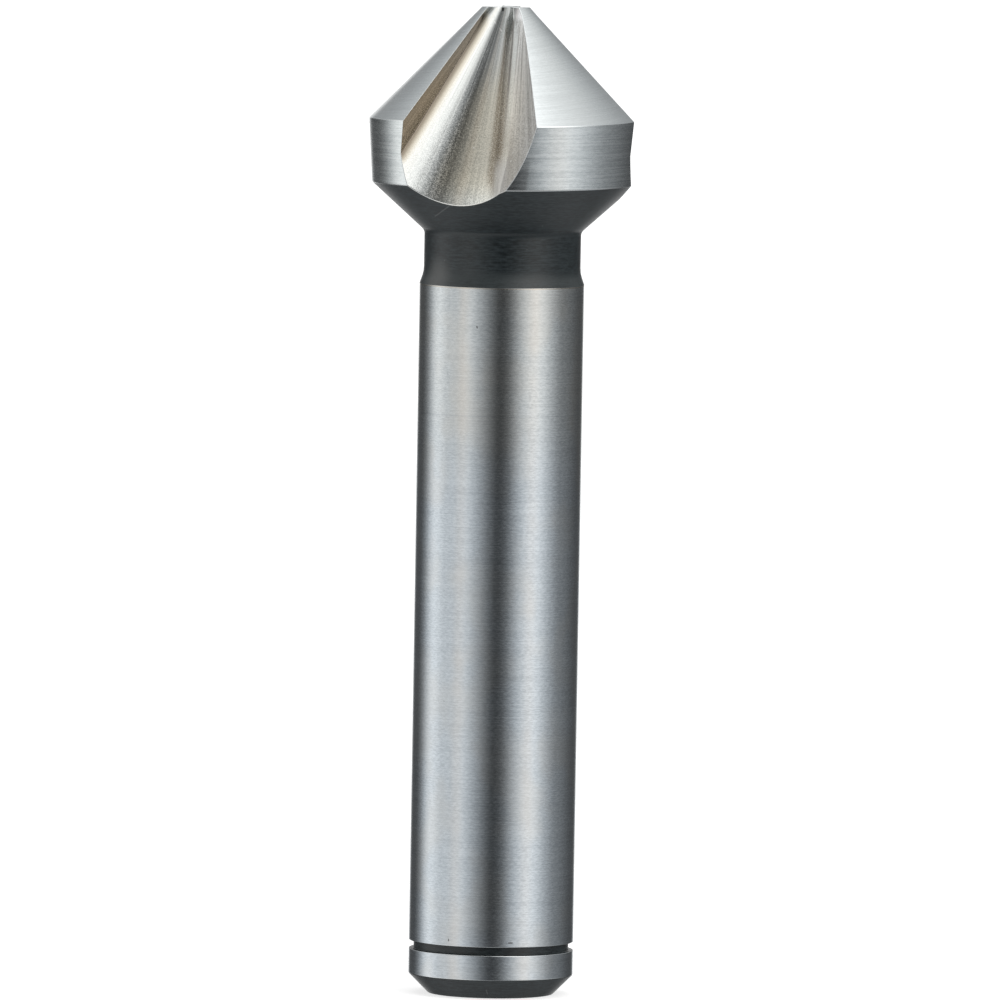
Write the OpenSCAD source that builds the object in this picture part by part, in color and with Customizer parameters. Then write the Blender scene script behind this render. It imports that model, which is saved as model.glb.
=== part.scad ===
/* [Overall] */
// Length over all, shank end face to tip flat
overall_len = 60; // [45:0.5:100]

/* [Shank] */
// Diameter of the ground shank
shank_d = 10; // [9:0.5:11]
// Width and height of the 45 degree chamfer at the shank end
end_chamfer = 1.2; // [0.4:0.1:2]
// Height of the lower side of the turned ring groove
groove_z = 2.7; // [2.2:0.1:10]
// Width of the ring groove
groove_w = 0.5; // [0.3:0.1:1]
// Depth of the ring groove
groove_depth = 0.3; // [0.1:0.05:0.6]

/* [Neck] */
// Diameter of the unground neck under the head
neck_d = 9.5; // [8.5:0.1:10]
// Height of the unground part between the ground shank and the head
neck_h = 3.2; // [2.2:0.1:8]
// Height of the short taper from the shank to the neck, within it
neck_taper_h = 0.7; // [0.2:0.1:1.5]
// Radius of the fillet between the neck and the back of the head
neck_fillet = 0.5; // [0.2:0.1:1]
// Half angle of the turned cone at the back of the head
back_half_angle = 48; // [42:1:55]

/* [Cutting head] */
// Diameter over the cutting edges at the base of the point
head_d = 16.5; // [15.5:0.1:18]
// Diameter over the cutting edges at the bottom of the lands
land_base_d = 16.1; // [15.2:0.1:17]
// Included angle of the point
point_angle = 90; // [84:1:96]
// Diameter of the flat at the tip
tip_flat_d = 3; // [2.4:0.1:3.6]
// Height of the lands, along the cutting edges
land_h = 3.9; // [3:0.1:5]
// Radial relief of the point across a tooth, at its base
point_relief = 0.2; // [0.1:0.05:0.4]
// Radial relief of a land across a tooth, at its top
land_relief_top = 0.05; // [0:0.01:0.2]
// Radial relief of a land across a tooth, at its bottom
land_relief_base = 0.1; // [0.05:0.01:0.3]
// Angle of the first cutting edge round the axis
first_edge_angle = -137.3; // [-180:0.1:180]

/* [Chip flutes] */
// Rake angle of the flat face in front of each cutting edge
rake = 11; // [4:1:16]
// Distance of each cutting edge behind the axis
edge_back = 0.1; // [0:0.05:0.3]
// Distance by which the flute's starting point lies past the axis
flute_past_axis = 0.4; // [0.2:0.05:0.6]
// Distance of the flute's starting point above the tip flat
flute_start_h = 1.4; // [1.2:0.1:1.8]
// Angle from the cutting edge to the middle of the flute
flute_turn = 23.5; // [18:0.5:28]
// Lean of the deep part of the flute away from the axis
deep_lean = 48.5; // [45:0.5:52]
// Half angle of the cone that forms the deep part
deep_half_angle = 20; // [17:0.5:21]
// Offset of the wide part of the flute toward the heel
wide_offset = 1.15; // [0.9:0.05:1.3]
// Lean of the wide part of the flute away from the axis
wide_lean = 55; // [52:0.5:58]
// Half angle of the cone that forms the wide part
wide_half_angle = 26; // [24:0.5:28]

/* [Hidden] */
$fn = 96;

// Teeth and chip flutes; the flute sizes above are those of a three flute head
teeth = 3;
pitch = 360 / teeth;
shank_r = shank_d / 2;
neck_r = neck_d / 2;
point_half = point_angle / 2;
head_r = head_d / 2;
tip_r = tip_flat_d / 2;

// Height of the sharp apex in which the cutting edges would meet
apex_z = overall_len + tip_r / tan(point_half);
// Heights of the two ends of a land, at the cutting edge
land_top_z = apex_z - head_r / tan(point_half);
land_base_z = land_top_z - land_h;

// The back cone starts at the neck and meets the lands at their bottom
back_cone_z = land_base_z - (land_base_d / 2 - neck_r) / tan(back_half_angle);
shank_top_z = back_cone_z - neck_h;
neck_z = shank_top_z + neck_taper_h;
// The fillet touches the neck this far below the back cone's start
fillet_back = neck_fillet * tan(back_half_angle / 2);

// Allowance by which raw material and cutters pass the finished surface
spare = 1;
blank_r = head_r + spare;
blank_z = back_cone_z + (blank_r - neck_r) / tan(back_half_angle);
cutter_len = 2 * head_d;
// The teeth start inside the neck, this far under the back cone
tooth_foot_z = back_cone_z - spare;

// Each relieved surface bulges most toward this angle ahead of the edge
bulge_angle = pitch / 2;
// A wedge takes one tooth and ends in the flutes beside it
wedge_lap = 2;
wedge_ahead = 34;
wedge_span = pitch + wedge_lap;

// Turned outline of the bit before the teeth are cut, with the axis on x = 0
module blank_outline() {
    difference() {
        polygon([
            [0, 0],
            [shank_r - end_chamfer, 0],
            [shank_r, end_chamfer],
            [shank_r, shank_top_z],
            [neck_r, neck_z],
            [neck_r, back_cone_z],
            [blank_r, blank_z],
            [blank_r, apex_z],
            [0, apex_z]
        ]);
        translate([shank_r - groove_depth, groove_z])
            square([groove_depth + spare, groove_w]);
    }
    neck_fillet_outline();
}

// Concave fillet in the corner between the neck and the back cone
module neck_fillet_outline() {
    corner = [neck_r, back_cone_z];
    on_cone = corner + fillet_back * [sin(back_half_angle), cos(back_half_angle)];
    difference() {
        polygon([corner - [0, fillet_back], on_cone, corner - [spare, 0]]);
        translate([neck_r + neck_fillet, back_cone_z - fillet_back])
            circle(r = neck_fillet);
    }
}

// Sector of the head that holds one tooth, with its cutting edge along +X
module tooth_sector() {
    reach = 4 * head_r;
    from = wedge_ahead - wedge_span;
    middle = wedge_ahead - wedge_span / 2;
    translate([0, 0, tooth_foot_z])
        linear_extrude(height = overall_len - tooth_foot_z)
            polygon([
                [0, 0],
                reach * [cos(from), sin(from)],
                2 * reach * [cos(middle), sin(middle)],
                reach * [cos(wedge_ahead), sin(wedge_ahead)]
            ]);
}

// Cone of the point, leaned toward the bulge so that the heel clears the work
module relieved_point() {
    lean = atan(point_relief / head_r) * sin(point_half) * cos(point_half);
    half = point_half - lean * cos(bulge_angle);
    length = apex_z - tooth_foot_z + spare;
    translate([0, 0, apex_z])
        rotate([0, 180 - lean, bulge_angle])
            cylinder(h = length, r1 = 0, r2 = length * tan(half));
}

// Cylindrical lands with a little back taper and relief, as a leaned cone
module relieved_land() {
    share = cos(bulge_angle);
    base_r = land_base_d / 2 - land_relief_base * share;
    top_r = head_r - land_relief_top * share;
    lean = atan((land_relief_top - land_relief_base) / land_h);
    taper = (top_r - base_r) / land_h;
    below = land_base_z - tooth_foot_z + spare;
    above = apex_z - land_base_z;
    rotate([0, 0, bulge_angle])
        translate([land_relief_base, 0, land_base_z])
            rotate([0, lean, 0])
                translate([0, 0, -below])
                    cylinder(h = below + above, r1 = base_r - taper * below, r2 = base_r + taper * above);
}

// One tooth before the flutes are cut
module tooth() {
    intersection() {
        tooth_sector();
        relieved_land();
        relieved_point();
    }
}

// Cone whose side forms part of a flute, leaned outward from its start
module flute_cone(offset, lean, half) {
    translate([-flute_past_axis, offset, overall_len + flute_start_h])
        rotate([0, 180 - lean, flute_turn])
            cylinder(h = cutter_len, r1 = 0, r2 = cutter_len * tan(half));
}

// Everything in front of the flat rake face of the tooth along +X
module rake_side() {
    translate([0, 0, apex_z])
        rotate([0, point_half, 0])
            rotate([-rake, 0, 0])
                translate([-2 * cutter_len, -edge_back, -2 * cutter_len])
                    cube(4 * cutter_len);
}

// Space taken away for one chip flute, ahead of the cutting edge along +X
module flute() {
    intersection() {
        union() {
            flute_cone(0, deep_lean, deep_half_angle);
            flute_cone(wide_offset, wide_lean, wide_half_angle);
        }
        rake_side();
    }
}

// The whole bit: turned blank, relieved teeth and ground flutes, in one piece
module countersink_bit() {
    color("silver")
        difference() {
            intersection() {
                rotate_extrude() blank_outline();
                union() {
                    cylinder(h = back_cone_z, r = blank_r);
                    for (i = [0 : teeth - 1])
                        rotate([0, 0, first_edge_angle + i * pitch]) tooth();
                }
            }
            for (i = [0 : teeth - 1])
                rotate([0, 0, first_edge_angle + i * pitch]) flute();
        }
}

countersink_bit();
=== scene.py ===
import math

import bmesh
import bpy
import numpy as np
from mathutils import Matrix, Vector
from mathutils.geometry import delaunay_2d_cdt


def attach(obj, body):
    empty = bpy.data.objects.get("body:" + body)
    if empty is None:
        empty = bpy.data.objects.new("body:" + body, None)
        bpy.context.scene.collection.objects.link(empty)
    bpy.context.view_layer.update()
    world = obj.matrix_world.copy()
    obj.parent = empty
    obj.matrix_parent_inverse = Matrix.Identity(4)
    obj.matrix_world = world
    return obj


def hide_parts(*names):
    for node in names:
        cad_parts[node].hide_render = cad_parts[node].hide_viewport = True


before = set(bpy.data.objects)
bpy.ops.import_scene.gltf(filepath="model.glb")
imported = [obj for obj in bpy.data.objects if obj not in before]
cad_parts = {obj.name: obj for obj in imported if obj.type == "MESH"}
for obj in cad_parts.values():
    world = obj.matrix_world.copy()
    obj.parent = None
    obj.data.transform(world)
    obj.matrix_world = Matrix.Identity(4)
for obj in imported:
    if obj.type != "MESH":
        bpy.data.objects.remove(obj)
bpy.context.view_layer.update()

NODE = "countersink_bit"
MM = 0.001

# Sizes of the bit in millimetres and degrees, as in the part's source
LENGTH = 60.0
SHANK_R = 5.0
END_CHAMFER = 1.2
GROOVE_Z = 2.7
GROOVE_W = 0.5
GROOVE_DEPTH = 0.3
NECK_R = 4.75
NECK_H = 3.2
NECK_TAPER_H = 0.7
NECK_FILLET = 0.5
BACK_HALF = math.radians(48)
HEAD_R = 8.25
LAND_BASE_R = 8.05
POINT_HALF = math.radians(45)
TIP_R = 1.5
LAND_H = 3.9
POINT_RELIEF = 0.2
LAND_RELIEF_TOP = 0.05
LAND_RELIEF_BASE = 0.1
FIRST_EDGE = -137.3
RAKE = math.radians(11)
EDGE_BACK = 0.1
FLUTE_PAST_AXIS = 0.4
FLUTE_START_H = 1.4
FLUTE_TURN = math.radians(23.5)
DEEP = dict(offset=0.0, lean=math.radians(48.5), half=math.radians(20))
WIDE = dict(offset=1.15, lean=math.radians(55), half=math.radians(26))
TEETH = 3
PITCH = 360 / TEETH

APEX_Z = LENGTH + TIP_R / math.tan(POINT_HALF)
LAND_TOP_Z = APEX_Z - HEAD_R / math.tan(POINT_HALF)
LAND_BASE_Z = LAND_TOP_Z - LAND_H
BACK_CONE_Z = LAND_BASE_Z - (LAND_BASE_R - NECK_R) / math.tan(BACK_HALF)
SHANK_TOP_Z = BACK_CONE_Z - NECK_H
FLUTE_START = np.array([-FLUTE_PAST_AXIS, 0, LENGTH + FLUTE_START_H])
BULGE = math.radians(PITCH / 2)
# Direction of a tooth's middle, seen from its cutting edge
TOOTH_MIDDLE = math.radians(-35)
# Distance from a flute's start at which its fan of grinding lines has its true spacing
FAN_AT = 8.0
# Keeps the lines of a flute's two cones from being alike
FAN_APART = 40
# Guards against division by zero and rounding errors
TINY, SMALL = 1e-12, 1e-6


def spin(degrees):
    """Rotation about the tool's axis."""
    a = math.radians(degrees)
    return np.array([[math.cos(a), -math.sin(a), 0], [math.sin(a), math.cos(a), 0], [0, 0, 1]])


def unit(v):
    return v / np.linalg.norm(v, axis=-1, keepdims=True)


class Plane:
    """A flat surface, by its outward normal and one of its points."""

    def __init__(self, normal, point):
        self.n = unit(np.array(normal, float))
        self.at = np.array(point, float)
        self.u = unit(np.cross(self.n, [0.0, 0.6, 0.8]))
        self.v = np.cross(self.n, self.u)

    def height(self, p):
        return (p - self.at) @ self.n

    def normal(self, p):
        return np.tile(self.n, (len(p), 1))

    def flat(self, p):
        d = p - self.at
        return np.stack([d @ self.u, d @ self.v], axis=1)

    def solid(self, q):
        return self.at + q[:, :1] * self.u + q[:, 1:] * self.v


class Cone:
    """The side of a cone. The metal is inside it, or outside it where side is -1."""

    def __init__(self, apex, axis, half, toward, side=1):
        self.apex = np.array(apex, float)
        self.axis = unit(np.array(axis, float))
        self.e1 = unit(np.array(toward, float) - (toward @ self.axis) * self.axis)
        self.e2 = np.cross(self.axis, self.e1)
        self.half, self.side = half, side

    def split(self, p):
        w = p - self.apex
        return w @ self.axis, w @ self.e1, w @ self.e2

    def height(self, p):
        along, x, y = self.split(p)
        return self.side * (np.hypot(x, y) * math.cos(self.half) - along * math.sin(self.half))

    def outward(self, p):
        _, x, y = self.split(p)
        return unit(np.outer(x, self.e1) + np.outer(y, self.e2))

    def unrolled(self, p):
        """Distance from the apex and turn round it, with the cone's side laid flat."""
        along, x, y = self.split(p)
        return np.sqrt(along**2 + x**2 + y**2), np.arctan2(y, x) * math.sin(self.half)

    def normal(self, p):
        return self.side * (self.outward(p) * math.cos(self.half) - self.axis * math.sin(self.half))

    def flat(self, p):
        slant, turn = self.unrolled(p)
        return np.stack([slant * np.cos(turn), slant * np.sin(turn)], axis=1)

    def solid(self, q):
        slant = np.hypot(q[:, 0], q[:, 1])
        turn = np.arctan2(q[:, 1], q[:, 0]) / math.sin(self.half)
        out = slant * math.sin(self.half)
        along = slant * math.cos(self.half)
        ring = np.outer(out * np.cos(turn), self.e1) + np.outer(out * np.sin(turn), self.e2)
        return self.apex + np.outer(along, self.axis) + ring


class FluteCone(Cone):
    """A cone that a flute was ground along, with grinding lines that fan out from its apex."""

    def fan(self, p):
        """Place among the grinding lines, and the direction across them."""
        slant, turn = self.unrolled(p)
        apart = np.full(len(p), self.half * FAN_APART)
        return np.column_stack([turn * FAN_AT, slant, apart]), np.cross(self.axis, self.outward(p))


class RakeFace(Plane):
    """The flat face in front of a cutting edge, ground along the flute."""

    def __init__(self, normal, point, start):
        super().__init__(normal, point)
        self.start = np.array(start, float)

    def fan(self, p):
        d = p - self.start
        flat = d - (d @ self.n)[:, None] * self.n
        slant = np.linalg.norm(flat, axis=1)
        turn = np.arctan2(flat @ self.v, flat @ self.u)
        return np.column_stack([turn * FAN_AT, slant, np.zeros(len(p))]), np.cross(self.n, unit(flat))


class TurnedCone(Cone):
    """A cone all the way round the tool's axis, laid flat by looking along the axis."""

    def flat(self, p):
        return p[:, :2].copy()

    def solid(self, q):
        z = self.apex[2] + np.hypot(q[:, 0], q[:, 1]) / math.tan(self.half)
        return np.column_stack([q, z])


def leaned(lean, turn):
    """Direction down the tool's axis, leaned outward toward the angle turn."""
    return np.array([math.sin(lean) * math.cos(turn), math.sin(lean) * math.sin(turn), -math.cos(lean)])


def head_surfaces():
    """The surfaces of the head by name: those of one tooth and its flute, three times over."""
    found = {
        "tip": Plane([0, 0, 1], [0, 0, LENGTH]),
        "back": TurnedCone([0, 0, BACK_CONE_Z - NECK_R / math.tan(BACK_HALF)], [0, 0, 1], BACK_HALF,
                           np.array([1.0, 0, 0])),
    }
    tooth = np.array([math.cos(TOOTH_MIDDLE), math.sin(TOOTH_MIDDLE), 0])
    core = -np.array([math.cos(FLUTE_TURN), math.sin(FLUTE_TURN), 0])
    lean = math.atan(POINT_RELIEF / HEAD_R) * math.sin(POINT_HALF) * math.cos(POINT_HALF)
    share = math.cos(BULGE)
    base_r = LAND_BASE_R - LAND_RELIEF_BASE * share
    top_r = HEAD_R - LAND_RELIEF_TOP * share
    taper = (top_r - base_r) / LAND_H
    land_lean = math.atan((LAND_RELIEF_TOP - LAND_RELIEF_BASE) / LAND_H)
    land_axis = np.array([math.sin(land_lean), 0, math.cos(land_lean)])
    land_base = np.array([LAND_RELIEF_BASE, 0, LAND_BASE_Z])
    rake_n = np.array([-math.sin(RAKE) * math.sin(POINT_HALF), math.cos(RAKE),
                       -math.sin(RAKE) * math.cos(POINT_HALF)])
    for i in range(TEETH):
        edge = spin(FIRST_EDGE + i * PITCH)
        bulge = spin(FIRST_EDGE + (i + 0.5) * PITCH)
        apex = np.array([0, 0, APEX_Z])
        found[f"point{i}"] = Cone(apex, edge @ leaned(lean, BULGE), POINT_HALF - lean * share, edge @ tooth)
        found[f"land{i}"] = Cone(bulge @ (land_base - base_r / taper * land_axis), bulge @ land_axis,
                                 math.atan(taper), edge @ tooth)
        found[f"rake{i}"] = RakeFace(edge @ rake_n, apex - EDGE_BACK * (edge @ rake_n), edge @ FLUTE_START)
        for name, cone in (("deep", DEEP), ("wide", WIDE)):
            start = edge @ (FLUTE_START + [0, cone["offset"], 0])
            axis = edge @ leaned(cone["lean"], FLUTE_TURN)
            found[f"{name}{i}"] = FluteCone(start, axis, cone["half"], edge @ core, side=-1)
    return found


SURFACES = head_surfaces()
# The farthest that a packed corner lies from its surface, in millimetres
FIT = 2e-3
# Corners this near to each other, in metres, are one
SAME_PLACE = 1e-8
SNAP_ROUNDS = 8


def snap(points, surfaces):
    """Moves points onto all the given surfaces at once."""
    for _ in range(SNAP_ROUNDS):
        off = np.stack([s.height(points) for s in surfaces], axis=1)
        n = np.stack([s.normal(points) for s in surfaces], axis=1)
        back = np.linalg.pinv(n @ n.transpose(0, 2, 1))
        shares = np.einsum("nij,nj->ni", back, off)
        points = points - np.einsum("nj,nji->ni", shares, n)
    return points


def read_solid():
    """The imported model's faces, each with the name of the head's surface that it lies on."""
    bm = bmesh.new()
    bm.from_mesh(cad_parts[NODE].data)
    bmesh.ops.remove_doubles(bm, verts=bm.verts, dist=SAME_PLACE)
    bm.faces.ensure_lookup_table()
    corners = np.array([v.co for v in bm.verts]) / MM
    faces = np.array([[v.index for v in f.verts] for f in bm.faces])
    middles = corners[faces].mean(axis=1)
    a, b, c = (corners[faces[:, k]] for k in range(3))
    across = unit(np.cross(b - a, c - a) + TINY)
    names = list(SURFACES)
    off = np.array([np.abs(SURFACES[n].height(corners))[faces].max(axis=1) for n in names])
    facing = np.array([(SURFACES[n].normal(middles) * across).sum(axis=1) for n in names])
    best = np.where(off < FIT, facing, -1).argmax(axis=0)
    on = [names[k] if off[k, j] < FIT else "turned" for j, k in enumerate(best)]
    return bm, corners, on


def trace_borders(bm, corners, on):
    """Lines where two of the head's surfaces meet, each from one corner of the head to the next."""
    ways = {}
    for e in bm.edges:
        pair = tuple(sorted({on[f.index] for f in e.link_faces}))
        if len(pair) == 2 and "turned" not in pair:
            a, b = e.verts[0].index, e.verts[1].index
            ways.setdefault(a, []).append((b, pair))
            ways.setdefault(b, []).append((a, pair))
    ends = {v for v, w in ways.items() if len(w) > 2}
    borders = []
    for start in sorted(ends):
        for step, pair in ways[start]:
            line = [start, step]
            while line[-1] not in ends:
                line.append(next(b for b, _ in ways[line[-1]] if b != line[-2]))
            if line[0] < line[-1]:
                borders.append((pair, line[0], line[-1], corners[line]))
    return borders


# Width of the rounding on each side of an edge, in millimetres, with the kinds of edge that have it
ROUNDING = {
    0.02: "deep+point land+rake point+rake",
    0.03: "deep+land deep+tip tip+wide",
    0.04: "land+wide point+tip point+wide",
    0.05: "back+deep back+wide deep+rake land+point",
    0.06: "back+land",
    0.10: "deep+wide",
}
# The one valley; every other edge of the head is a ridge
VALLEY = ("deep", "rake")
# Edges whose rounding grows to this width in the middle, and the length over which it grows at each end
SOFT_MIDDLE = {("deep", "wide"): 0.45, ("deep", "rake"): 0.09}
SOFT_RISE = 2.5
# Spacing of the mesh's corners along the edges and inside the surfaces
EDGE_STEP = 0.12
FACE_STEP = 0.24
# Corners this near to each other on a flattened surface are one
FLAT_SLACK = 1e-7
# How far a rounded corner may reach along an edge, in widths, and the least turn that sets its reach
MOST_REACH = 6.0
LEAST_TURN = 1e-3
# How far from an edge's end its direction is taken, in millimetres and as a share of its length
LEAVING, LEAVING_SHARE = 0.05, 0.3
# How far from its end the middle of a rounding may start, as a share of the edge's length
MOST_SLIDE = 0.45
# Rounding of the turned outline's corners, and of its softer ones by their height
TURNED_EDGE = 0.05
TURNED_ROUNDING = {SHANK_TOP_Z + NECK_TAPER_H: 0.3}
# Faces of the turned part: in a ring, over the fillet, and the least length of one elsewhere
RING = 256
FILLET_STEPS = 8
TURNED_STEP = 1.0


def kind(name):
    return name.rstrip("0123456789")


def turned_grain(p, n):
    """Grinding lines round the axis: places across and along them, and the direction across."""
    r = np.hypot(p[:, 0], p[:, 1])
    out = np.column_stack([p[:, :2] / np.maximum(r, SMALL)[:, None], np.zeros(len(p))])
    n_r = (n * out).sum(axis=1)
    across = np.column_stack([-n[:, 2:] * out[:, :2], n_r])
    return np.column_stack([(p * across).sum(axis=1), p[:, 0], p[:, 1]]), across


class Skin:
    """The visible mesh: corners with their normals, and faces with their kind."""

    def __init__(self):
        self.at, self.normals, self.wear, self.grain, self.across = [], [], [], [], []
        self.faces, self.kinds = [], []

    def add(self, points, normals, wear=0.0, surface=None):
        first = len(self.at)
        points, normals = np.array(points), np.array(normals)
        grain, across = surface.fan(points) if hasattr(surface, "fan") else turned_grain(points, normals)
        self.grain.extend(grain)
        self.across.extend(across)
        self.at.extend(points)
        self.normals.extend(normals)
        self.wear.extend([wear] * len(points))
        return list(range(first, len(self.at)))

    def face(self, corners, of_kind):
        """Adds a face, turned so that it faces the way its corners do."""
        corners = [c for k, c in enumerate(corners) if c != corners[k - 1]]
        if len(corners) < 3:
            return
        p = np.array([self.at[c] for c in corners])
        d = p - p[0]
        area = sum(np.cross(d[k], d[k + 1]) for k in range(1, len(p) - 1))
        if area @ sum(self.normals[c] for c in corners) < 0:
            corners = corners[::-1]
        self.faces.append(corners)
        self.kinds.append(of_kind)

    def strip(self, one, other, of_kind):
        for k in range(len(one) - 1):
            self.face([one[k], one[k + 1], other[k + 1], other[k]], of_kind)


class Border:
    """An edge of the head between two of its corners, and the rounding that takes its place."""

    def __init__(self, pair, start, end, line):
        self.pair, self.ends = pair, (start, end)
        self.kinds = tuple(sorted(kind(n) for n in pair))
        self.name = "+".join(self.kinds)
        self.width = next(width for width, names in ROUNDING.items() if self.name in names.split())
        self.valley = self.kinds == VALLEY
        # Rounded edges carry the pale edge mark, partly wear and partly a painted highlight; the soft ones
        # don't
        self.bright = 0.0 if self.kinds in SOFT_MIDDLE else 1.0
        self.sides = [SURFACES[n] for n in pair]
        self.line = line
        self.run = np.concatenate([[0], np.cumsum(np.linalg.norm(np.diff(line, axis=0), axis=1))])
        self.length = self.run[-1]

    def width_at(self, run):
        """Width of the rounding along the edge."""
        grown = SOFT_MIDDLE.get(self.kinds, self.width)
        share = np.clip(np.minimum(run, self.length - run) / SOFT_RISE, 0, 1)
        return self.width + (grown - self.width) * share**2 * (3 - 2 * share)

    def points(self, run):
        rough = np.stack([np.interp(run, self.run, self.line[:, k]) for k in range(3)], axis=1)
        return snap(rough, self.sides)

    def inward(self, side, p, along):
        """Direction in one of the two surfaces, square to the edge, into that surface."""
        n, other = self.sides[side].normal(p), self.sides[1 - side].normal(p)
        t = np.cross(n, along)
        want = (t * other).sum(axis=1) * (1 if self.valley else -1)
        return unit(t) * np.sign(want)[:, None]

    def leaving(self, end):
        """The corner at that end, and the direction in which the edge leaves it."""
        step = min(LEAVING, LEAVING_SHARE * self.length)
        run = np.array([0, step]) if end == 0 else np.array([self.length, self.length - step])
        p = self.points(run)
        return p[:1], unit(p[1:] - p[:1])

    def middle(self, p, width):
        """Points of the rounding half way between the two surfaces, with their normals."""
        a, b = self.sides[0].normal(p), self.sides[1].normal(p)
        e = unit(a + b)
        half = np.arccos(np.clip((e * a).sum(axis=1), -1, 1))
        gap = width * (1 / np.cos(half) - 1) / np.maximum(np.tan(half), SMALL)
        return p + e * (gap if self.valley else -gap)[:, None], e


def round_corner(skin, borders, v, surface):
    """The corner that a surface keeps between its two roundings at v, and how far along each it lies."""
    meet = [(b, b.ends.index(v)) for b in borders if v in b.ends and surface in b.pair]
    (one, e1), (two, e2) = meet
    p, t1 = one.leaving(e1)
    _, t2 = two.leaving(e2)
    i1 = one.inward(one.pair.index(surface), p, t1)
    i2 = two.inward(two.pair.index(surface), p, t2)
    t1, t2, i1, i2 = t1[0], t2[0], i1[0], i2[0]
    across = t1 @ i2
    reach = (two.width - one.width * (i1 @ i2)) / (across if abs(across) > LEAST_TURN else LEAST_TURN)
    most = MOST_REACH * max(one.width, two.width)
    reach = float(np.clip(reach, -most, most))
    move = reach * t1 + one.width * i1
    q = snap(p + move, [SURFACES[surface]])
    index = skin.add(q, SURFACES[surface].normal(q), surface=SURFACES[surface])[0]
    return index, {id(one): move @ t1, id(two): move @ t2}


def build_edges(skin, borders):
    """Rounds every edge and corner of the head; returns the outline that each surface keeps."""
    kept, reach = {}, {}
    for v in sorted({e for b in borders for e in b.ends}):
        for surface in sorted({n for b in borders if v in b.ends for n in b.pair}):
            kept[v, surface], far = round_corner(skin, borders, v, surface)
            for k, d in far.items():
                reach.setdefault((k, v), []).append(d)
    outline = {}
    tips = {}
    for b in borders:
        slides = [np.clip(reach[id(b), v], 0, None) for v in b.ends]
        lo = max(slides[0]) + 0.5 * EDGE_STEP
        hi = b.length - max(slides[1]) - 0.5 * EDGE_STEP
        first, last = (min(np.mean(s), MOST_SLIDE * b.length) for s in slides)
        m, mn = b.middle(b.points(np.array([first, b.length - last])), b.width)
        ends = skin.add(m, mn, b.bright)
        for k, v in enumerate(b.ends):
            tips[id(b), v] = ends[k]
        rows = [[], [], []]
        if hi > lo:
            run = np.linspace(lo, hi, max(2, round((hi - lo) / EDGE_STEP) + 1))
            p = b.points(run)
            along = unit(np.gradient(p, axis=0))
            width = b.width_at(run)
            m, mn = b.middle(p, width)
            rows[1] = skin.add(m, mn, b.bright)
            for side in (0, 1):
                q = snap(p + width[:, None] * b.inward(side, p, along), [b.sides[side]])
                rows[2 * side] = skin.add(q, b.sides[side].normal(q), surface=b.sides[side])
        a = [kept[b.ends[0], b.pair[0]], *rows[0], kept[b.ends[1], b.pair[0]]]
        c = [kept[b.ends[0], b.pair[1]], *rows[2], kept[b.ends[1], b.pair[1]]]
        m = [ends[0], *rows[1], ends[1]]
        skin.strip(a, m, b.name)
        skin.strip(m, c, b.name)
        for name, row in zip(b.pair, (a, c)):
            outline.setdefault(name, []).extend(zip(row[:-1], row[1:]))
    for v in sorted({e for b in borders for e in b.ends}):
        cap_corner(skin, [b for b in borders if v in b.ends], v, kept, tips)
    return outline


def cap_corner(skin, around, v, kept, tips):
    """Closes the small hole that the roundings leave round one corner of the head."""
    rim, here, left = [], around[0].pair[0], list(around)
    of_kind = "+".join(b.name for b in around)
    while left:
        b = next(x for x in left if here in x.pair)
        left.remove(b)
        rim += [kept[v, here], tips[id(b), v]]
        here = b.pair[1 - b.pair.index(here)]
    points = np.array([skin.at[k] for k in rim])
    normal = unit(sum(skin.normals[k] for k in rim))
    # The corner's middle gets the full pale edge mark: wear and a painted highlight
    centre = skin.add([points[1::2].mean(axis=0)], [normal], 1.0)[0]
    for k in range(len(rim)):
        skin.face([rim[k - 1], rim[k], centre], of_kind)


def inside(points, a, b):
    """Which flat points lie inside the outline whose edges run from a to b."""
    x, y = points[:, :1], points[:, 1:]
    above = (a[:, 1] > y) != (b[:, 1] > y)
    rise = np.where(b[:, 1] == a[:, 1], 1, b[:, 1] - a[:, 1])
    crossing = a[:, 0] + (y - a[:, 1]) / rise * (b[:, 0] - a[:, 0])
    return (above & (x < crossing)).sum(axis=1) % 2 == 1


def clearance(points, a, b):
    """Distance of flat points from the nearest edge of the outline."""
    d = b - a
    w = points[:, None] - a
    t = np.clip((w * d).sum(axis=2) / np.maximum((d * d).sum(axis=1), TINY), 0, 1)
    return np.linalg.norm(w - t[..., None] * d, axis=2).min(axis=1)


def fill(skin, name, rims):
    """Covers one surface inside its outline with even triangles."""
    surface = SURFACES[name]
    used = sorted({k for edge in rims for k in edge})
    place = {k: n for n, k in enumerate(used)}
    flat = surface.flat(np.array([skin.at[k] for k in used]))
    edges = np.array([[place[a], place[b]] for a, b in rims])
    a, b = flat[edges[:, 0]], flat[edges[:, 1]]
    lo, hi = flat.min(axis=0), flat.max(axis=0)
    grid = np.stack(np.meshgrid(*(np.arange(lo[k], hi[k], FACE_STEP) for k in (0, 1))), axis=-1)
    grid[1::2, :, 0] += FACE_STEP / 2
    grid = grid.reshape(-1, 2)
    grid = grid[inside(grid, a, b)]
    grid = grid[clearance(grid, a, b) > 0.5 * FACE_STEP]
    points = [Vector(p) for p in np.vstack([flat, grid])]
    out = delaunay_2d_cdt(points, edges.tolist(), [], 0, FLAT_SLACK, True)
    back = [source[0] for source in out[3]]
    faces = [[back[k] for k in f] for f in out[2]]
    at = surface.solid(grid)
    index = used + skin.add(at, surface.normal(at), surface=surface)
    for f in within(faces, {frozenset(e) for e in edges.tolist()}, len(used)):
        skin.face([index[k] for k in f], kind(name))


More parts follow.
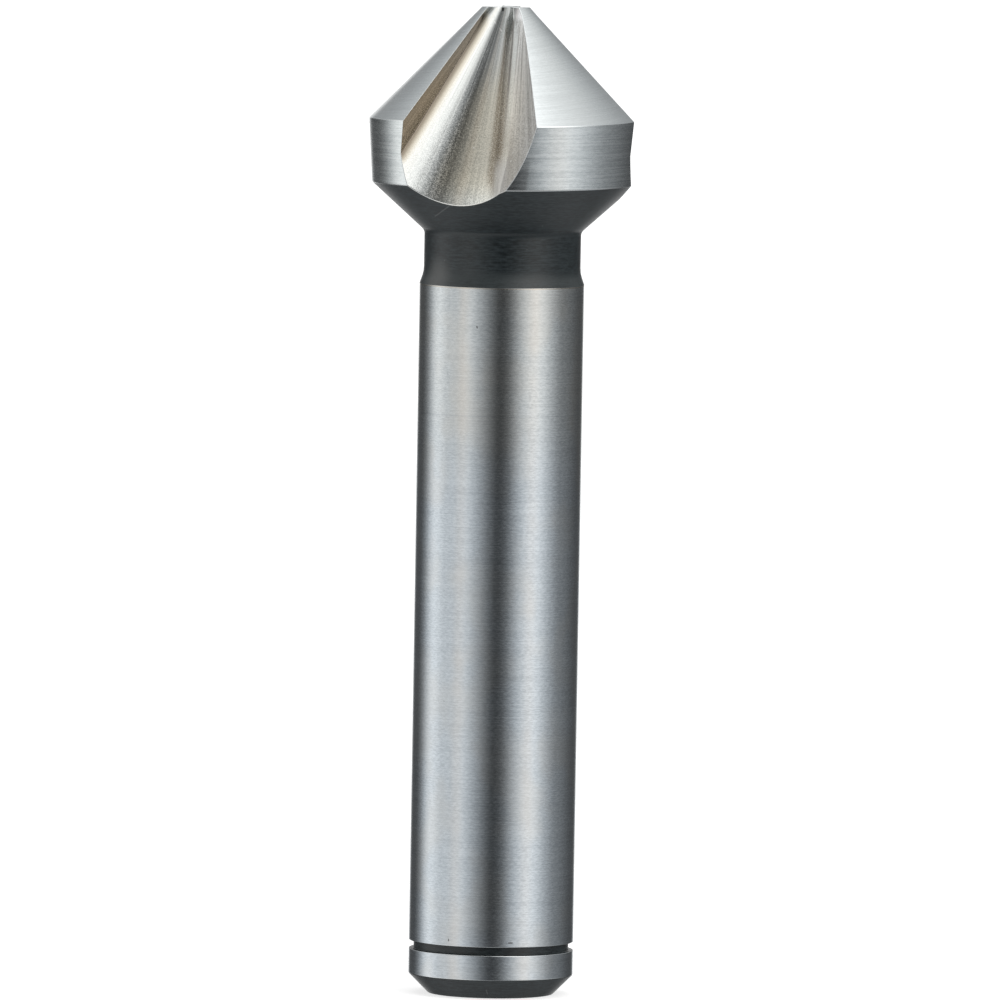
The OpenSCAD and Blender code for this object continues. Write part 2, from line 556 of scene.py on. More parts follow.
def within(faces, walls, first_inner):
    """The faces that can be reached from the inner points without crossing the outline."""
    beside = {}
    for n, f in enumerate(faces):
        for k in range(3):
            beside.setdefault(frozenset((f[k - 1], f[k])), []).append(n)
    reached = {n for n, f in enumerate(faces) if max(f) >= first_inner}
    todo = list(reached)
    while todo:
        f = faces[todo.pop()]
        for k in range(3):
            edge = frozenset((f[k - 1], f[k]))
            fresh = set(beside[edge]) - reached if edge not in walls else set()
            reached |= fresh
            todo += fresh
    return [faces[n] for n in sorted(reached)]


def turned_profile():
    """Outline of the turned part from the middle of its end face up to the back cone, edges rounded."""
    fillet_back = NECK_FILLET * math.tan(BACK_HALF / 2)
    bend_z = BACK_CONE_Z - fillet_back
    low, high = GROOVE_Z, GROOVE_Z + GROOVE_W
    floor_r = SHANK_R - GROOVE_DEPTH
    neck_z = SHANK_TOP_Z + NECK_TAPER_H
    # Each stretch: its two ends as radius and height, and what it is
    stretches = [
        ((0, 0), (SHANK_R - END_CHAMFER, 0), "end"),
        ((SHANK_R - END_CHAMFER, 0), (SHANK_R, END_CHAMFER), "dark"),
        ((SHANK_R, END_CHAMFER), (SHANK_R, low), "shank"),
        ((SHANK_R, low), (floor_r, low), "dark"),
        ((floor_r, low), (floor_r, high), "dark"),
        ((floor_r, high), (SHANK_R, high), "dark"),
        ((SHANK_R, high), (SHANK_R, SHANK_TOP_Z), "shank"),
        ((SHANK_R, SHANK_TOP_Z), (NECK_R, neck_z), "dark"),
        ((NECK_R, neck_z), (NECK_R, bend_z), "dark"),
    ]
    rows = []
    width = 0.0
    for k, (a, b, of_kind) in enumerate(stretches):
        a, b = np.array(a, float), np.array(b, float)
        d = unit(b - a)
        n = np.array([d[1], -d[0]])
        start = a + width * d
        width = TURNED_ROUNDING.get(b[1], TURNED_EDGE)
        end = b if k == len(stretches) - 1 else b - width * d
        steps = max(1, int(np.linalg.norm(end - start) / TURNED_STEP))
        for s in np.linspace(0, 1, steps + 1):
            rows.append((start + s * (end - start), n, of_kind, 0.0))
        if k < len(stretches) - 1:
            d2 = unit(np.array(stretches[k + 1][1], float) - b)
            n2 = np.array([d2[1], -d2[0]])
            e = unit(n + n2)
            half = math.acos(min(1, e @ n))
            gap = width * (1 / math.cos(half) - 1) / math.tan(half)
            convex = d[0] * d2[1] - d[1] * d2[0] > 0
            # Convex corners beside the shank get the pale edge mark: wear and a painted highlight
            bright = convex and "shank" in (of_kind, stretches[k + 1][2])
            rows.append((b - e * gap if convex else b + e * gap, e, "", 1.0 if bright else 0.0))
    for k in range(1, FILLET_STEPS + 1):
        a = BACK_HALF * k / FILLET_STEPS
        n = np.array([math.cos(a), -math.sin(a)])
        rows.append((np.array([NECK_R + NECK_FILLET, bend_z]) - NECK_FILLET * n, n, "dark", 0.0))
    return rows


def turn_body(skin):
    """Turns the profile round the axis; returns the ring that the back cone starts from."""
    angles = np.arange(RING) * 2 * math.pi / RING
    way = np.stack([np.cos(angles), np.sin(angles), np.zeros(RING)], axis=1)
    up = np.array([0, 0, 1.0])
    last = None
    for p, n, of_kind, wear in turned_profile():
        if p[0] < SMALL:
            ring = skin.add([p[1] * up], [n[1] * up]) * RING
        else:
            ring = skin.add(way * p[0] + up * p[1], way * n[0] + up * n[1], wear)
        if last:
            skin.strip(last[0] + last[0][:1], ring + ring[:1], of_kind or last[1])
        last = ring, of_kind
    return last[0]


# Node helpers for the materials and the world


def wire(tree, kind_of_node, into=None, **settings):
    """Adds a node; into gives its inputs by name or number, as values or as outputs of other nodes."""
    made = tree.nodes.new("ShaderNode" + kind_of_node)
    for name, value in settings.items():
        setattr(made, name, value)
    for key, value in (into or {}).items():
        plug(value, made.inputs[key])
    return made


def plug(value, socket):
    if isinstance(value, bpy.types.NodeSocket):
        socket.id_data.links.new(value, socket)
    else:
        socket.default_value = value


def tree_of(values):
    """The node tree of the first value that is a node's output."""
    return next(v.id_data for v in values if isinstance(v, bpy.types.NodeSocket))


def calc(operation, *values):
    """One step of arithmetic."""
    return wire(tree_of(values), "Math", dict(enumerate(values)), operation=operation).outputs[0]


def total(*parts):
    """Sum of values, each given with its share."""
    made = 0.0
    for value, share in parts:
        made = calc("MULTIPLY_ADD", value, share, made)
    return made


def product(first, *others):
    for other in others:
        first = calc("MULTIPLY", first, other)
    return first


def smooth(value, low, high, out_low=0.0, out_high=1.0):
    """A soft step from out_low at low to out_high at high."""
    into = dict(enumerate((value, low, high, out_low, out_high)))
    return wire(value.id_data, "MapRange", into, interpolation_type="SMOOTHSTEP").outputs[0]


def window(value, middle, half, soft):
    """One inside a band round the middle, zero outside it, with soft sides."""
    away = calc("ABSOLUTE", calc("SUBTRACT", value, middle))
    return smooth(away, half + soft, max(half - soft, 0.0))


def mixed(share, one, other):
    """A value between two, as share goes from 0 to 1."""
    return wire(share.id_data, "Mix", {0: share, 2: one, 3: other}).outputs[0]


def blend(share, one, other, most=None, way="MIX"):
    """A colour between two, as share goes from 0 to 1; most lowers the share."""
    made = wire(share.id_data, "Mix", data_type="RGBA", blend_type=way)
    plug(share if most is None else product(share, most), made.inputs["Factor"])
    colours = [s for s in made.inputs if s.type == "RGBA"]
    for socket, colour in zip(colours, (one, other)):
        plug(colour if isinstance(colour, bpy.types.NodeSocket) else (*colour, 1.0), socket)
    return next(s for s in made.outputs if s.type == "RGBA")


# How a layer's colour multiplies what is there, in place of covering it
MULTIPLIED = (None, "MULTIPLY")


def layered(colour, *layers):
    """Lays colours over one another, each by its share, and by how much at most or in which way."""
    for share, over, *how in layers:
        colour = blend(share, colour, over, *how)
    return colour


def vector(operation, *values):
    return wire(tree_of(values), "VectorMath", dict(enumerate(values)), operation=operation)


def scaled(at, factors):
    return vector("MULTIPLY", at, factors).outputs[0]


def component(at, which):
    return wire(at.id_data, "SeparateXYZ", {0: at}).outputs[which]


def attribute(tree, name, output="Vector"):
    return wire(tree, "Attribute", attribute_name=name).outputs[output]


def place(tree):
    """Place on the part in millimetres."""
    return scaled(wire(tree, "TexCoord").outputs["Object"], (1 / MM,) * 3)


def level(tree):
    """Height on the part in millimetres."""
    return component(place(tree), 2)


def noise(at):
    into = {"Vector": at, "Scale": 1.0, "Detail": 2.0, "Roughness": 0.5}
    return wire(at.id_data, "TexNoise", into).outputs[0]


def lines(tree, across, along):
    """Noise in steps per millimetre across and along the grinding lines."""
    return noise(scaled(attribute(tree, GRAIN), (across, along, along)))


def cloud(tree, steps):
    """Noise that is even all ways, in steps per millimetre."""
    return noise(scaled(place(tree), (steps,) * 3))


def specks(tree, steps, size, share, stretch=1.0):
    """Separate marks, one in each cell, of which a share is kept; stretch draws them out."""
    at = scaled(attribute(tree, GRAIN), (steps, steps / stretch, steps / stretch))
    cells = wire(tree, "TexVoronoi", {"Vector": at, "Scale": 1.0})
    drawn = wire(tree, "SeparateColor", {0: cells.outputs["Color"]}).outputs[0]
    kept = calc("LESS_THAN", drawn, share)
    return product(kept, smooth(cells.outputs["Distance"], size * steps, size * steps * 0.5))


def scratch(tree, start, end, width):
    """A thin mark from one point of the part to another."""
    start, end = Vector(start), Vector(end)
    run = end - start
    off = vector("SUBTRACT", place(tree), tuple(start)).outputs[0]
    along = vector("DOT_PRODUCT", off, tuple(run)).outputs["Value"]
    share = calc("DIVIDE", along, run.length_squared)
    share.node.use_clamp = True
    on_line = wire(tree, "VectorMath", {0: tuple(run), "Scale": share}, operation="SCALE")
    away = vector("DISTANCE", off, on_line.outputs[0]).outputs["Value"]
    return smooth(away, width, width * 0.3)


def marks(tree, runs, width):
    """All the marks of a list in one."""
    made = 0.0
    for start, end in runs:
        made = calc("MAXIMUM", made, scratch(tree, start, end, width))
    return made


# Materials

# The edge attribute marks rounded edges for a paler colour: wear and a painted highlight
GRAIN, ACROSS, EDGE_WEAR_AND_HIGHLIGHT, NEAR = "grain", "across", "wear", "near"
# The edges from which each point's distance is kept in the attribute NEAR, and the farthest that it tells
CREASE, HEEL, VALLEY_LINE = 0, 1, 2
NEAR_EDGES = [[("deep", "wide")], [("land", "wide"), ("point", "wide")], [("deep", "rake")]]
FAR = 8.0

# Each finish is pale on its grinding lines and deep between them
SHANK_PALE, SHANK_DEEP = (0.625, 0.68, 0.722), (0.465, 0.51, 0.546)
LAND_PALE, LAND_DEEP = (0.70, 0.745, 0.76), (0.49, 0.53, 0.545)
POINT_PALE, POINT_DEEP = (0.595, 0.63, 0.635), (0.54, 0.57, 0.575)
FLUTE_PALE, FLUTE_DEEP = (0.765, 0.785, 0.767), (0.415, 0.43, 0.42)
HEEL_PALE, HEEL_DEEP = (0.84, 0.845, 0.825), (0.38, 0.38, 0.365)
RAKE_PALE, RAKE_DEEP = (0.42, 0.36, 0.30), (0.28, 0.24, 0.195)
OXIDE_PALE, OXIDE_DEEP = (0.032, 0.045, 0.050), (0.006, 0.011, 0.013)

# Colours that lie over a finish in places
# Pale colour of rounded edges: partly rubbed wear, partly a painted edge highlight
BRIGHT_EDGE = (0.86, 0.88, 0.88)
WARM_STEEL = (0.61, 0.61, 0.59)
RUB_RING = (0.34, 0.37, 0.40)
PIT = (0.16, 0.16, 0.16)
RUB = (0.90, 0.92, 0.94)
STRAW = (0.55, 0.47, 0.36)
BROWN_OXIDE = (0.055, 0.043, 0.040)
BROWN_VALLEY = (0.14, 0.106, 0.070)
BURNT = (0.27, 0.225, 0.17)
HEEL_LOW = (0.20, 0.19, 0.17)
FADED_HEEL, FADED_FLUTE = (0.55, 0.54, 0.515), (0.70, 0.69, 0.66)
POLISHED = (0.98, 0.98, 0.98)
# Painted shade: a dark line along the flute's crease
CREASE_PAINTED_SHADE = (0.10, 0.09, 0.08)
FLUTE_SPECK = (0.97, 0.97, 0.95)
BARE_SCRATCH = (0.92, 0.92, 0.90)
NOTCH_DARK = (0.02, 0.02, 0.02)
THIN_OXIDE = (0.10, 0.115, 0.115)
# Painted highlight: paler oxide on the left of the taper
OXIDE_PAINTED_HIGHLIGHT = (0.17, 0.175, 0.17)
OXIDE_SPECK = (0.16, 0.17, 0.17)
OXIDE_SCRATCH = (0.20, 0.21, 0.21)
# Colours by which a finish is multiplied in places; over one, they make it paler
WARM_TOP = (1.03, 1.0, 0.955)
# Painted light: the land on the left side is made paler
LEFT_LAND_PAINTED_LIGHT = (1.21, 1.19, 1.16)
GOLDEN = (1.035, 0.985, 0.885)
FLUTE_STRAW = (1.07, 0.995, 0.87)
WORN_END = (1.36, 1.35, 1.31)
# Painted shade: darkens the heel side beside the crease
HEEL_PAINTED_SHADE = (0.88, 0.88, 0.885)

# Grinding lines of each finish: steps per millimetre across and along them, and their share
SHANK_LINES = ((12.0, 4.0, 0.55), (14.0, 0.25, 0.3), (1.1, 0.04, 0.15))
LAND_LINES = ((13.0, 0.2, 0.6), (13.0, 3.0, 0.35), (2.0, 0.05, 0.05))
POINT_LINES = ((11.0, 0.25, 0.6), (12.0, 4.0, 0.4))
RAKE_LINES = ((9.0, 0.2, 0.6),)
OXIDE_LINES = ((13.0, 2.2, 0.6), (13.0, 0.4, 0.3))
# Steps per millimetre of the coarse grain in the flutes
COARSE = 13.0
# Shares of the streaks, the coarse grain and the broad streaks in the flutes, low down and near the tip
GRAINED, STREAKED = (0.25, 0.6, 0.15), (0.55, 0.25, 0.2)
# Heights of the lines between which a finish goes from deep to pale, and from smooth to rough
SOFT_TONES, RAKE_TONES, CLEAR_TONES = (0.33, 0.67), (0.34, 0.66), (0.36, 0.64)
ROUGH_TONES = (0.3, 0.7)
# The same in the flutes, with how smooth and how rough they are
FLUTE_ROUGH = (0.34, 0.66, 0.11, 0.29)
BUMP_HEIGHT = 0.01 * MM

# Heights at which tints start and are complete, in millimetres
STREAKS_Z = (LENGTH - 8.0, LENGTH - 3.0)
STRAW_DOWN, STRAW_UP = (LENGTH - 2.0, LENGTH - 6.0), (47.8, 50.0)
# Heights of the painted shade along the crease
CREASE_SHADE_DOWN, CREASE_SHADE_UP = (LENGTH - 0.5, LENGTH - 0.9), (51.0, LENGTH - 2.0)
POLISHED_Z = (LENGTH - 0.9, LENGTH - 0.5)
MATT_Z = (LENGTH - 1.5, LENGTH - 3.0)
THIN_DOWN, THIN_UP = (SHANK_TOP_Z + 1.2, SHANK_TOP_Z + 0.4), (SHANK_TOP_Z - 1.0, SHANK_TOP_Z - 0.1)
# Distances from the crease as a share of the depth below the flute's start
CALM_FAN, STRAW_FAN, WORN_FAN = (0.42, 0.50), (0.41, 0.32), (0.36, 0.28)

# Places of marks on the part, in millimetres
RUB_RING_Z = 35.4
OXIDE_SCRATCHES = [
    ((-4.11, -4.27, 47.44), (-3.62, -5.26, 47.86)),
    ((-3.62, -5.26, 47.86), (-3.14, -6.09, 48.28)),
    ((-0.23, -4.36, 0.57), (-0.16, -4.10, 0.31)),
]
# Middle of the painted highlight on the taper's left
PAINTED_HIGHLIGHT_AT = (-4.0, -2.7, SHANK_TOP_Z + 0.5)
SHANK_PITS = [
    ((-1.47, -4.77, 40.84), (-1.45, -4.78, 40.76)),
    ((-2.57, -4.29, 3.52), (-2.57, -4.29, 3.60)),
    ((1.08, -4.87, 3.50), (1.28, -4.83, 3.50)),
]
FLUTE_SCRATCH = [((-0.70, -0.81, 59.09), (-0.27, -1.17, 58.56))]
TIP_NOTCH = [((-0.23, -0.39, 60.0), (-0.22, -0.50, 59.8))]


def near(tree, which):
    """Distance in millimetres from the crease, the heel or the valley."""
    return component(attribute(tree, NEAR), which)


def ground(tree, layers, *others):
    """Height of layers of grinding lines, and of what else is given with its share."""
    return total(*((lines(tree, across, along), share) for across, along, share in layers), *others)


def bumped(height, strength):
    into = {"Strength": strength, "Distance": BUMP_HEIGHT, "Height": height}
    return wire(height.id_data, "Bump", into).outputs[0]


def rough_round(height, middle):
    """Roughness that goes a little below and above a middle one."""
    return smooth(height, *ROUGH_TONES, middle * 0.85, middle * 1.15)


def new_material(name):
    made = bpy.data.materials.new(name)
    made.use_nodes = True
    return made, made.node_tree, made.node_tree.nodes["Principled BSDF"]


def finish_steel(tree, shader, colour, height, rough, anisotropic, bump, metallic=1.0):
    """Joins up bare steel: edges are paler, from wear and a painted highlight; light spreads across the
    grinding lines.
    """
    shader.inputs["Anisotropic"].default_value = anisotropic
    worn_and_highlit = smooth(attribute(tree, EDGE_WEAR_AND_HIGHLIGHT, "Fac"), 0.35, 0.9, out_high=0.8)
    plug(blend(worn_and_highlit, colour, BRIGHT_EDGE), shader.inputs["Base Color"])
    plug(metallic, shader.inputs["Metallic"])
    plug(rough, shader.inputs["Roughness"])
    plug(bumped(height, bump), shader.inputs["Normal"])
    plug(attribute(tree, ACROSS), shader.inputs["Tangent"])


def shank_steel():
    """The ground shank: fine rings broken into short grain, with a few pits and rub marks."""
    made, tree, shader = new_material("ground_shank")
    z, height = level(tree), ground(tree, SHANK_LINES)
    scattered = product(specks(tree, steps=0.5, size=0.05, share=0.3), 0.6)
    colour = layered(
        SHANK_DEEP,
        (smooth(height, *SOFT_TONES), SHANK_PALE),
        (smooth(lines(tree, across=0.25, along=0.35), 0.42, 0.62, out_high=0.35), WARM_STEEL),
        (smooth(z, 30.0, 37.0), WARM_TOP, *MULTIPLIED),
        (window(z, RUB_RING_Z, half=0.02, soft=0.03), RUB_RING, 0.35),
        (calc("MAXIMUM", scattered, marks(tree, SHANK_PITS, width=0.06)), PIT),
        (specks(tree, steps=0.6, size=0.05, share=0.25, stretch=8.0), RUB, 0.25),
        (window(z, SHANK_TOP_Z - 0.03, half=0.03, soft=0.04), STRAW, 0.7),
    )
    finish_steel(tree, shader, colour, height, rough_round(height, 0.21), anisotropic=0.7, bump=0.15)
    return made


def land_steel():
    """The lands: clear rings all round, with dark oxide left beside each heel low down."""
    made, tree, shader = new_material("ground_land")
    x, height = component(place(tree), 0), ground(tree, LAND_LINES)
    up = calc("SUBTRACT", level(tree), LAND_BASE_Z)
    ragged = total((near(tree, HEEL), 1.0), (up, 0.38), (lines(tree, across=6.0, along=3.0), 0.2))
    colour = layered(
        LAND_DEEP,
        (smooth(height, *SOFT_TONES), LAND_PALE),
        (product(smooth(ragged, 1.15, 0.95), smooth(up, 2.2, 1.0)), BROWN_OXIDE, 0.3),
        # Painted light: the land on the left side is made paler
        (smooth(x, -5.2, -6.2), LEFT_LAND_PAINTED_LIGHT, *MULTIPLIED),
    )
    finish_steel(tree, shader, colour, height, rough_round(height, 0.27), anisotropic=0.6, bump=0.15)
    return made


def point_steel():
    """The relieved point behind each cutting edge and the flat of the tip."""
    made, tree, shader = new_material("ground_point")
    height = ground(tree, POINT_LINES)
    colour = blend(smooth(height, *SOFT_TONES), POINT_DEEP, POINT_PALE)
    finish_steel(tree, shader, colour, height, rough_round(height, 0.24), anisotropic=0.5, bump=0.1)
    return made


def flute_steel(name, pale, deep, heel_side):
    """The ground flutes: streaks that fan out from the tip over a coarse grain, browned beside the crease."""
    made, tree, shader = new_material(name)
    z, crease, valley = level(tree), near(tree, CREASE), near(tree, VALLEY_LINE)
    layers = lines(tree, across=9.0, along=0.12), cloud(tree, COARSE), lines(tree, across=1.6, along=0.05)
    grained, streaked = (total(*zip(layers, shares)) for shares in (GRAINED, STREAKED))
    height = mixed(smooth(z, *STREAKS_Z), grained, streaked)
    faded = product(smooth(crease, 0.9, 0.2), smooth(z, 51.6, 50.2))
    dull = product(faded, 0.85)
    if heel_side:
        band = smooth(crease, 2.2, 0.3, out_high=0.55)
        # Painted shade on the heel side beside the crease, at mid height
        painted_shade = product(smooth(crease, 1.3, 0.5), window(z, 50.2, half=1.2, soft=0.6))
        wear = [
            (smooth(z, 53.5, 50.5, out_high=0.3), HEEL_LOW),
            (faded, FADED_HEEL, 0.7),
            (painted_shade, HEEL_PAINTED_SHADE, *MULTIPLIED),
            (smooth(z, *POLISHED_Z, out_high=0.95), POLISHED),
        ]
        matt = product(smooth(crease, 0.1, 0.9), smooth(z, *MATT_Z))
        rough = total((matt, 0.22), (smooth(height, *FLUTE_ROUGH), 1.0))
        beside = product(smooth(near(tree, HEEL), 1.1, 0.1), smooth(z, 59.0, 58.0), 0.65)
        dull = calc("MAXIMUM", dull, beside)
    else:
        turn = calc("DIVIDE", crease, calc("SUBTRACT", float(FLUTE_START[2]), z))
        height = mixed(smooth(turn, *CALM_FAN, out_high=0.6), height, 0.5)
        band = product(smooth(turn, *STRAW_FAN), smooth(turn, 0.0, 0.2, out_low=0.6))
        worn_end = product(smooth(z, 51.0, 48.0), smooth(turn, *WORN_FAN))
        wear = [(worn_end, WORN_END, *MULTIPLIED), (faded, FADED_FLUTE, 0.7)]
        rough = smooth(height, *FLUTE_ROUGH)
    high = product(smooth(z, *CREASE_SHADE_UP), smooth(z, *CREASE_SHADE_DOWN))
    burnt = product(smooth(crease, 1.1, 0.3), window(z, 52.0, half=1.0, soft=1.3))
    colour = layered(
        deep,
        (smooth(height, *CLEAR_TONES), pale),
        (smooth(valley, 0.72, 0.3), GOLDEN, *MULTIPLIED),
        (smooth(valley, 0.7, 0.0, out_high=0.85), BROWN_VALLEY),
        (product(band, smooth(z, *STRAW_DOWN), smooth(z, *STRAW_UP)), FLUTE_STRAW, *MULTIPLIED),
        (burnt, BURNT, 0.3),
        *wear,
        # A dark line of painted shade along the crease
        (product(smooth(crease, 0.2, 0.06), high), CREASE_PAINTED_SHADE, 0.85),
        (specks(tree, steps=1.6, size=0.05, share=0.5), FLUTE_SPECK, 0.7),
        (marks(tree, FLUTE_SCRATCH, width=0.05), BARE_SCRATCH, 0.8),
        (marks(tree, TIP_NOTCH, width=0.09), NOTCH_DARK),
    )
    metallic = calc("SUBTRACT", 1.0, dull)
    finish_steel(tree, shader, colour, height, rough, anisotropic=0.4, bump=0.55, metallic=metallic)
    return made


def rake_steel():
    """The flat faces in front of the cutting edges, a little browned by the grinding heat."""
    made, tree, shader = new_material("ground_rake")
    height = ground(tree, RAKE_LINES, (cloud(tree, COARSE), 0.4))
    colour = blend(smooth(height, *RAKE_TONES), RAKE_DEEP, RAKE_PALE)
    finish_steel(tree, shader, colour, height, rough_round(height, 0.24), anisotropic=0.4, bump=0.15)
    return made


def black_oxide():
    """Turned steel with the dark skin of its hardening: fine rings, specks, scratches and a painted highlight
    on the taper's left.
    """
    made, tree, shader = new_material("black_oxide")
    z, height = level(tree), ground(tree, OXIDE_LINES, (cloud(tree, 0.4), 0.1))
    away = vector("DISTANCE", place(tree), PAINTED_HIGHLIGHT_AT).outputs["Value"]
    colour = layered(
        OXIDE_DEEP,
        (smooth(height, *CLEAR_TONES), OXIDE_PALE),
        (product(smooth(z, *THIN_DOWN), smooth(z, *THIN_UP)), THIN_OXIDE, 0.3),
        # Painted highlight on the left of the taper
        (smooth(away, 1.7, 0.2, out_high=0.55), OXIDE_PAINTED_HIGHLIGHT),
        (specks(tree, steps=1.3, size=0.06, share=0.25), OXIDE_SPECK, 0.5),
        (marks(tree, OXIDE_SCRATCHES, width=0.06), OXIDE_SCRATCH, 0.45),
    )
    plug(colour, shader.inputs["Base Color"])
    plug(smooth(height, *ROUGH_TONES, 0.30, 0.38), shader.inputs["Roughness"])
    plug(bumped(height, 0.35), shader.inputs["Normal"])
    return made


MATERIALS = {
    "shank": shank_steel,
    "land": land_steel,
    "point": point_steel,
    "flute": lambda: flute_steel("ground_flute", FLUTE_PALE, FLUTE_DEEP, False),
    "heel side": lambda: flute_steel("ground_heel_side", HEEL_PALE, HEEL_DEEP, True),
    "rake": rake_steel,
    "oxide": black_oxide,
}
# The finish of each kind of face; a rounded edge goes with the first of its two surfaces that is named here
LOOK = {"land": "land", "point": "point", "tip": "point", "rake": "rake", "deep": "flute",
        "wide": "heel side", "shank": "shank", "back": "oxide", "dark": "oxide", "end": "oxide"}


def add_object(name, data):
    made = bpy.data.objects.new(name, data)
    bpy.context.scene.collection.objects.link(made)
    return made


def look_of(name):
    """The finish of a face, by its surface or by the two surfaces that its edge rounds."""
    return next(LOOK[k] for k in LOOK if k in name.split("+"))


def build_bit():
    """The visible bit: every edge rounded, every surface with its own finish."""
    bm, corners, on = read_solid()
    borders = [Border(*b) for b in trace_borders(bm, corners, on)]
    skin = Skin()
    outline = build_edges(skin, borders)
    ring = turn_body(skin)
    outline["back"] += list(zip(ring, ring[1:] + ring[:1]))
    for name, rims in outline.items():
        fill(skin, name, rims)
    at = np.array(skin.at)
    mesh = bpy.data.meshes.new("countersink_skin")
    mesh.from_pydata((at * MM).tolist(), [], skin.faces)
    mesh.polygons.foreach_set("use_smooth", [True] * len(mesh.polygons))
    names = list(MATERIALS)
    for name in names:
        mesh.materials.append(MATERIALS[name]())
    mesh.polygons.foreach_set("material_index", [names.index(look_of(k)) for k in skin.kinds])
    distances = np.column_stack([distance_from(at, borders, pairs) for pairs in NEAR_EDGES])
    for name, data in ((GRAIN, skin.grain), (ACROSS, skin.across), (NEAR, distances)):
        mesh.attributes.new(name, "FLOAT_VECTOR", "POINT").data.foreach_set("vector", np.array(data).ravel())
    mesh.attributes.new(EDGE_WEAR_AND_HIGHLIGHT, "FLOAT", "POINT").data.foreach_set("value", skin.wear)
    mesh.validate()
    mesh.normals_split_custom_set_from_vertices([tuple(n) for n in skin.normals])
    bit = add_object("countersink_bit_skin", mesh)
    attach(bit, "root")
    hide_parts(NODE)


def distance_from(at, borders, pairs):
    """Distance of each point from the nearest edge between any of the pairs, no more than FAR."""
    found = np.full(len(at), FAR)
    for b in borders:
        if b.kinds in pairs:
            for start, end in zip(b.line[:-1], b.line[1:]):
                run = end - start
                share = np.clip((at - start) @ run / (run @ run), 0, 1)
                found = np.minimum(found, np.linalg.norm(at - start - share[:, None] * run, axis=1))
    return found


# Camera, floor and studio

SENSOR = 36.0
CLIP_START, CLIP_END = 0.05, 20
# The photograph's size and the focal length in its pixels
IMAGE_SIZE = 1000
FOCAL_PX = 18663.0
# The camera's place in millimetres and its turn in radians
CAMERA_AT = np.array([0, -1130.0, 109.0])
LOOK_DOWN = math.radians(4)
ROLL = 0.0168
# How far it is moved to its right and upward, so that the bit stands where the photograph has it
ASIDE = np.array([0.102, 0.045])


def add_camera():
    """The photograph's view: from far off, a little above, with the bit leaning slightly to the right."""
    forward = np.array([0, math.cos(LOOK_DOWN), -math.sin(LOOK_DOWN)])
    right = np.array([1.0, 0, 0])
    up = np.cross(right, forward)
    x = right * math.cos(ROLL) + up * math.sin(ROLL)
    y = up * math.cos(ROLL) - right * math.sin(ROLL)
    data = bpy.data.cameras.new("camera")
    data.sensor_width = SENSOR
    data.lens = SENSOR * FOCAL_PX / IMAGE_SIZE
    data.clip_start, data.clip_end = CLIP_START, CLIP_END
    camera = add_object("camera", data)
    at = (CAMERA_AT + ASIDE[0] * x + ASIDE[1] * y) * MM
    camera.matrix_world = Matrix([[x[k], y[k], -forward[k], at[k]] for k in range(3)] + [[0, 0, 0, 1]])
    bpy.context.scene.camera = camera


# Half the floor's width in metres, and its look
FLOOR_HALF = 6.0
FLOOR_GREY = 0.5
FLOOR_ROUGH = 0.9
FLOOR_GLOW = 0.72


def add_floor():
    """A pale floor that the camera sees as white, apart from the bit's shadow.

    The steel doesn't mirror it, because its smooth sheet would hide the studio that the steel shows.
    """
    mesh = bpy.data.meshes.new("floor")
    s = FLOOR_HALF
    mesh.from_pydata([(-s, -s, 0), (s, -s, 0), (s, s, 0), (-s, s, 0)], [], [(0, 1, 2, 3)])
    floor = add_object("floor", mesh)
    made, tree, shader = new_material("pale_floor")
    shader.inputs["Base Color"].default_value = (FLOOR_GREY, FLOOR_GREY, FLOOR_GREY, 1)
    shader.inputs["Roughness"].default_value = FLOOR_ROUGH
    shader.inputs["Specular IOR Level"].default_value = 0.0
    shader.inputs["Emission Color"].default_value = (1, 1, 1, 1)
    plug(product(seen_directly(tree), FLOOR_GLOW), shader.inputs["Emission Strength"])
    mesh.materials.append(made)
    floor.visible_glossy = False


def seen_directly(tree):
    """One for rays from the camera, also after glass."""
    path = wire(tree, "LightPath")
    return calc("MAXIMUM", path.outputs["Is Camera Ray"], path.outputs["Is Transmission Ray"])


# Each soft panel of the studio: azimuth from the camera's side and height of its middle, half its width and
# height, the softness of its edges sideways and upward, all in degrees, and its strength. A negative one is a
# dark screen.
PANELS = [
    (46, 47, 27, 47, 25, 40, 1.75),
    (54, -6, 8, 20, 14, 20, 0.20),
    (78, -20, 30, 15, 38, 14, 0.50),
    (15, -6, 9, 16, 16, 18, -0.18),
    (-17, 50, 9, 14, 14, 16, -0.085),
    (-70, -17, 45, 38, 24, 35, 0.80),
    (-101, 0, 10, 34, 14, 24, 0.36),
    (-48, -6, 5, 24, 12, 20, 0.14),
    (180, -38, 14, 30, 12, 14, 1.30),
]
ROOM = 0.094
# The wall behind the bit: the directions between which it fades in, and the bands that make it paler upward
WALL_SIDES = (-0.86, 0.2)
WALL_BANDS = ((0.12, 0.30, 0.33), (0.32, 1.6, 1.97))
# The ground: the heights in degrees between which it grows paler, and by how much
GROUND = (-25.0, -60.0)
GROUND_STRENGTH = 0.45
# The tint of dim and of bright light, and the strengths between which it changes
DIM_TINT, PANEL_TINT = (0.985, 1.0, 1.015), (1.005, 1.0, 0.995)
TINT_LIGHT = (0.45, 1.15)
# Azimuths at which the studio's light is a little warmer, and how far round them
WARM_STRIPS = (-54, 48)
WARM_HALF = 7.0
WARM_TINT = (1.05, 1.0, 0.96)
# How far the white backdrop behind the bit reaches in degrees, each way, as the steel mirrors it
BACKDROP_HALF = 14.0
BACKDROP_SOFT = 4.0


def turned_from(azimuth, middle):
    """Degrees from one azimuth to another, the short way round."""
    return calc("WRAP", calc("SUBTRACT", azimuth, middle), 180.0, -180.0)


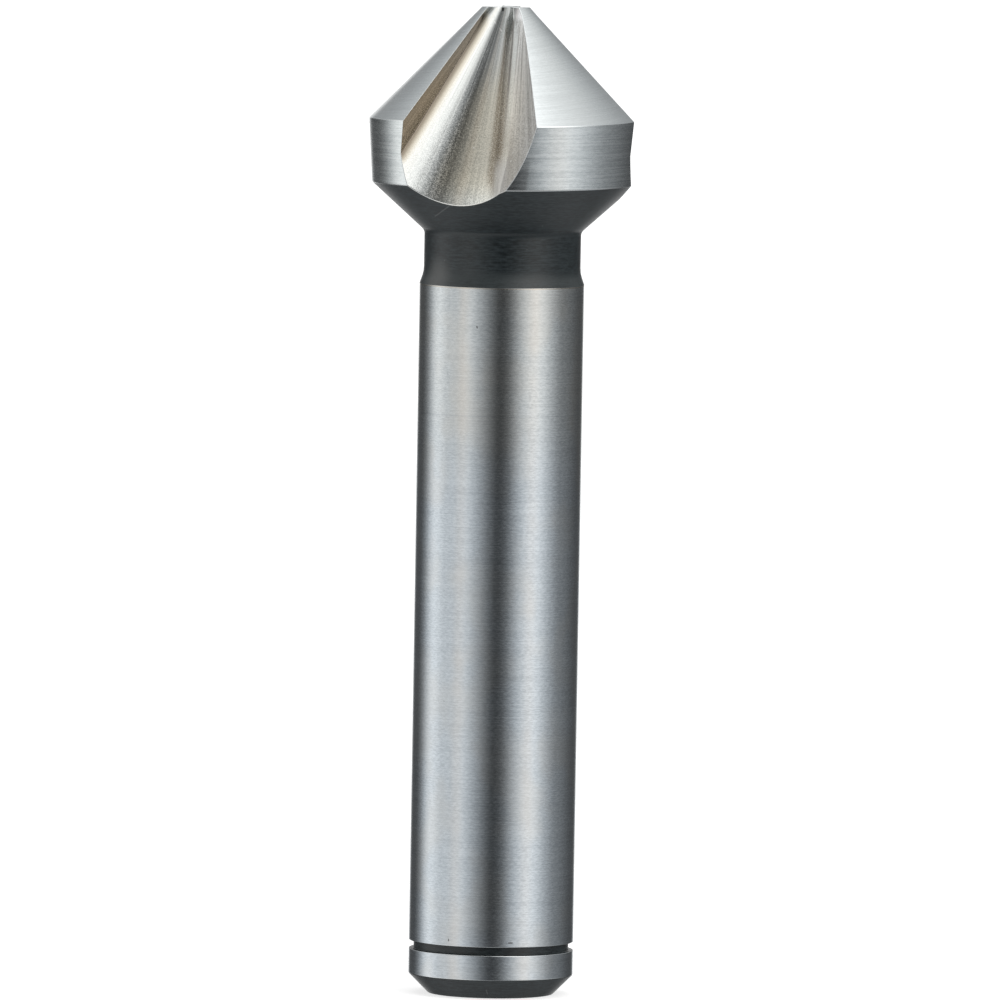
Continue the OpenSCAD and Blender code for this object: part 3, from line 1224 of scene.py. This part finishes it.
def lit(light, share, strength):
    """The room's light, with more of it where share is over zero."""
    return total((share, strength), (light, 1.0))


def add_world():
    """A dim room with soft light panels and a pale ceiling behind.

    The camera sees white, and the steel mirrors a white backdrop straight behind the bit.
    """
    world = bpy.data.worlds.new("studio")
    world.use_nodes = True
    bpy.context.scene.world = world
    tree = world.node_tree
    toward = wire(tree, "TexCoord").outputs["Generated"]
    x, y, z = wire(tree, "SeparateXYZ", {0: toward}).outputs
    azimuth = calc("DEGREES", calc("ARCTAN2", x, calc("MULTIPLY", y, -1.0)))
    height = calc("DEGREES", calc("ARCSINE", z))
    light = ROOM
    for az, el, half_w, half_h, soft_w, soft_h, strength in PANELS:
        sideways = window(turned_from(azimuth, az), 0.0, half_w, soft_w)
        upward = window(height, el, half_h, soft_h)
        light = lit(light, product(sideways, upward), strength)
    behind = smooth(y, *WALL_SIDES)
    for low, high, strength in WALL_BANDS:
        light = lit(light, product(behind, smooth(z, low, high)), strength)
    light = lit(light, smooth(height, *GROUND), GROUND_STRENGTH)
    tint = blend(smooth(light, *TINT_LIGHT), DIM_TINT, PANEL_TINT)
    for az in WARM_STRIPS:
        strip = window(turned_from(azimuth, az), 0.0, WARM_HALF, WARM_HALF)
        tint = blend(strip, tint, WARM_TINT)
    room = wire(tree, "Background", {"Color": tint, "Strength": light})
    white = wire(tree, "Background", {"Color": (1, 1, 1, 1), "Strength": 1.0})
    sideways = window(calc("ABSOLUTE", azimuth), 180.0, BACKDROP_HALF, BACKDROP_SOFT)
    backdrop = product(sideways, window(height, 0.0, BACKDROP_HALF, BACKDROP_SOFT))
    mirrored = product(wire(tree, "LightPath").outputs["Is Glossy Ray"], backdrop)
    share = calc("MAXIMUM", seen_directly(tree), mirrored)
    both = wire(tree, "MixShader", {0: share, 1: room.outputs[0], 2: white.outputs[0]})
    plug(both.outputs[0], tree.nodes["World Output"].inputs[0])


add_camera()
add_floor()
add_world()
build_bit()
bpy.context.scene.view_settings.view_transform = "Standard"
